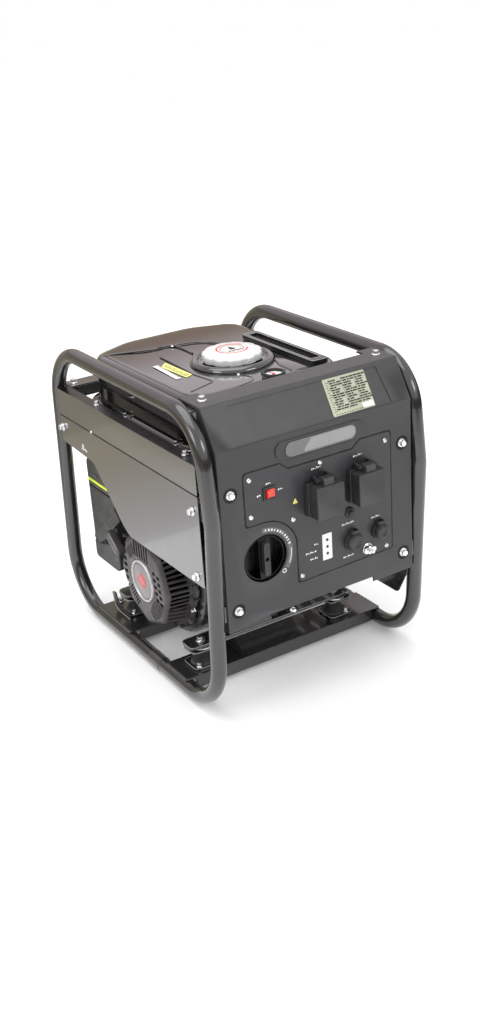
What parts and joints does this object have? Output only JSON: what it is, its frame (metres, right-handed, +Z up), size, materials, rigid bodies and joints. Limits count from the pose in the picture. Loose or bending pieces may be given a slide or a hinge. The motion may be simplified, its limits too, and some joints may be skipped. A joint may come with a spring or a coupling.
{
  "type": "inverter generator",
  "caption": "Open-frame petrol inverter generator: bent tube frame, front control panel with hinged socket covers, fuel tank with cap, recoil-start engine.",
  "frame": {"origin": "below the centre of the bounding box, on the floor", "axes": "+X right as seen from the control panel, -Y out of the control panel, +Z up"},
  "size_m": [0.388, 0.5496, 0.4931],
  "materials": {
    "frame_black": "gloss powder coat",
    "sheet_black": "gloss",
    "cover_plastic": "satin, fine grain",
    "dark_plastic": "satin",
    "tank_gloss": "high gloss",
    "rubber": "matt",
    "label_light": "printed foil",
    "badge_grey": "satin",
    "rocker_red": "gloss",
    "chrome": "bright plated",
    "steel": "machined",
    "cast_aluminium": "as cast",
    "cast_iron_grey": "as cast",
    "copper_windings": "lacquered wire",
    "muffler_steel": "heat-proof matt"
  },
  "bodies": {
    "chassis": {"frame_loop_left": "frame_black", "frame_loop_right": "frame_black", "cross_member_front": "frame_black", "cross_member_rear": "frame_black", "rear_cross_plate": "frame_black", "engine_arm_front": "frame_black", "engine_arm_rear": "frame_black", "rubber_mount_fl": "rubber", "rubber_mount_fr": "rubber", "rubber_mount_rl": "rubber", "rubber_mount_rr": "rubber", "side_panel_left": "sheet_black", "side_panel_right": "sheet_black", "front_cover": "cover_plastic", "control_panel": "cover_plastic", "rating_plate": "label_light", "badge": "badge_grey", "eco_switch_body": "dark_plastic", "ac_socket_1": "dark_plastic", "ac_socket_2": "dark_plastic", "dc_socket_1": "dark_plastic", "dc_socket_2": "dark_plastic", "earth_stud": "chrome", "fuel_tank_upper": "tank_gloss", "fuel_tank_lower": "tank_gloss", "filler_neck": "tank_gloss", "fuel_gauge": "dark_plastic", "grille_tray": "dark_plastic", "fuel_hose": "rubber", "crankcase": "cast_aluminium", "cylinder_head": "cast_aluminium", "valve_cover": "sheet_black", "spark_plug_cap": "dark_plastic", "carburettor": "cast_aluminium", "muffler": "muffler_steel", "air_cleaner_base": "sheet_black", "air_cleaner_cover": "sheet_black", "recoil_housing": "dark_plastic", "recoil_emblem": "steel", "blower_housing": "sheet_black", "alternator_stator": "copper_windings", "inverter_module": "cast_aluminium"},
    "ac_lid_left": {"ac_lid_1": "dark_plastic"},
    "ac_lid_right": {"ac_lid_2": "dark_plastic"},
    "dc_cap_left": {"dc_cap_1": "dark_plastic"},
    "dc_cap_right": {"dc_cap_2": "dark_plastic"},
    "rocker": {"eco_rocker": "rocker_red"},
    "breaker": {"breaker_button": "dark_plastic"},
    "knob": {"engine_knob": "dark_plastic"},
    "cap_core": {"cap_seal": "rubber"},
    "cap": {"fuel_cap": "chrome"},
    "grip": {"recoil_grip": "dark_plastic"},
    "pulley": {"recoil_pulley": "dark_plastic"},
    "crank": {"crankshaft": "steel", "flywheel_rotor": "cast_iron_grey"},
    "dipstick": {"oil_dipstick": "dark_plastic"},
    "earth": {"earth_nut": "chrome"},
    "needle": {"gauge_needle": "label_light"},
    "clip": {"air_cover_clip": "dark_plastic"}
  },
  "joints": [
    {"name": "ac_lid_left_hinge", "type": "hinge", "parent": "chassis", "child": "ac_lid_left", "pos_m": [-0.003, -0.25976, 0.3535], "axis": [-1, 0, 0], "range_deg": [0, 110], "stiffness_Nm_per_rad": 0.02, "springref_deg": -34.38},
    {"name": "ac_lid_right_hinge", "type": "hinge", "parent": "chassis", "child": "ac_lid_right", "pos_m": [0.0715, -0.25976, 0.3535], "axis": [-1, 0, 0], "range_deg": [0, 110], "stiffness_Nm_per_rad": 0.02, "springref_deg": -34.38},
    {"name": "dc_cap_left_hinge", "type": "hinge", "parent": "chassis", "child": "dc_cap_left", "pos_m": [0.0535, -0.25156, 0.25], "axis": [-1, 0, 0], "range_deg": [0, 110], "stiffness_Nm_per_rad": 0.008, "springref_deg": -34.38},
    {"name": "dc_cap_right_hinge", "type": "hinge", "parent": "chassis", "child": "dc_cap_right", "pos_m": [0.1027, -0.25156, 0.251], "axis": [-1, 0, 0], "range_deg": [0, 110], "stiffness_Nm_per_rad": 0.008, "springref_deg": -34.38},
    {"name": "eco_rocker_tilt", "type": "hinge", "parent": "chassis", "child": "rocker", "pos_m": [-0.087, -0.24226, 0.351], "axis": [0, 0, 1], "range_deg": [-16, 0]},
    {"name": "breaker_press", "type": "slide", "parent": "chassis", "child": "breaker", "axis": [0, 1, 0], "range_m": [0, 0.003], "stiffness_N_per_m": 300, "springref_m": -0.003},
    {"name": "engine_knob_turn", "type": "hinge", "parent": "chassis", "child": "knob", "pos_m": [-0.0996, -0.24376, 0.2523], "axis": [0, 1, 0], "range_deg": [0, 135]},
    {"name": "cap_lift", "type": "slide", "parent": "chassis", "child": "cap_core", "axis": [0, 0, 1], "range_m": [0, 0.05]},
    {"name": "cap_turn", "type": "hinge", "parent": "cap_core", "child": "cap", "pos_m": [0, -0.02176, 0.488], "axis": [0, 0, 1], "range_deg": [0, 90]},
    {"name": "recoil_pull", "type": "slide", "parent": "chassis", "child": "grip", "axis": [-1, 0, 0], "range_m": [0, 0.5], "stiffness_N_per_m": 20, "springref_m": -0.8},
    {"name": "recoil_pulley_turn", "type": "hinge", "parent": "chassis", "child": "pulley", "pos_m": [-0.16, 0.00424, 0.142], "axis": [1, 0, 0], "range_deg": [0, 600]},
    {"name": "crank_spin", "type": "hinge", "parent": "chassis", "child": "crank", "pos_m": [-0.1, 0.00424, 0.142], "axis": [1, 0, 0], "continuous": true},
    {"name": "dipstick_unscrew", "type": "hinge", "parent": "chassis", "child": "dipstick", "pos_m": [0.07, -0.03776, 0.088], "axis": [1, 0, 0], "range_deg": [0, 720]},
    {"name": "earth_nut_turn", "type": "hinge", "parent": "chassis", "child": "earth", "pos_m": [0.0804, -0.25126, 0.2118], "axis": [0, -1, 0], "range_deg": [0, 720]},
    {"name": "gauge_needle_swing", "type": "hinge", "parent": "chassis", "child": "needle", "pos_m": [0.006, -0.12776, 0.4764], "axis": [0, 0, 1], "range_deg": [0, 90]},
    {"name": "air_clip_open", "type": "hinge", "parent": "chassis", "child": "clip", "pos_m": [-0.088, 0.20624, 0.173], "axis": [0, 0, -1], "range_deg": [0, 50]}
  ],
  "couplings": [
    {"joint": "recoil_pulley_turn", "follows": "recoil_pull", "rad_per_m": 20}
  ]
}
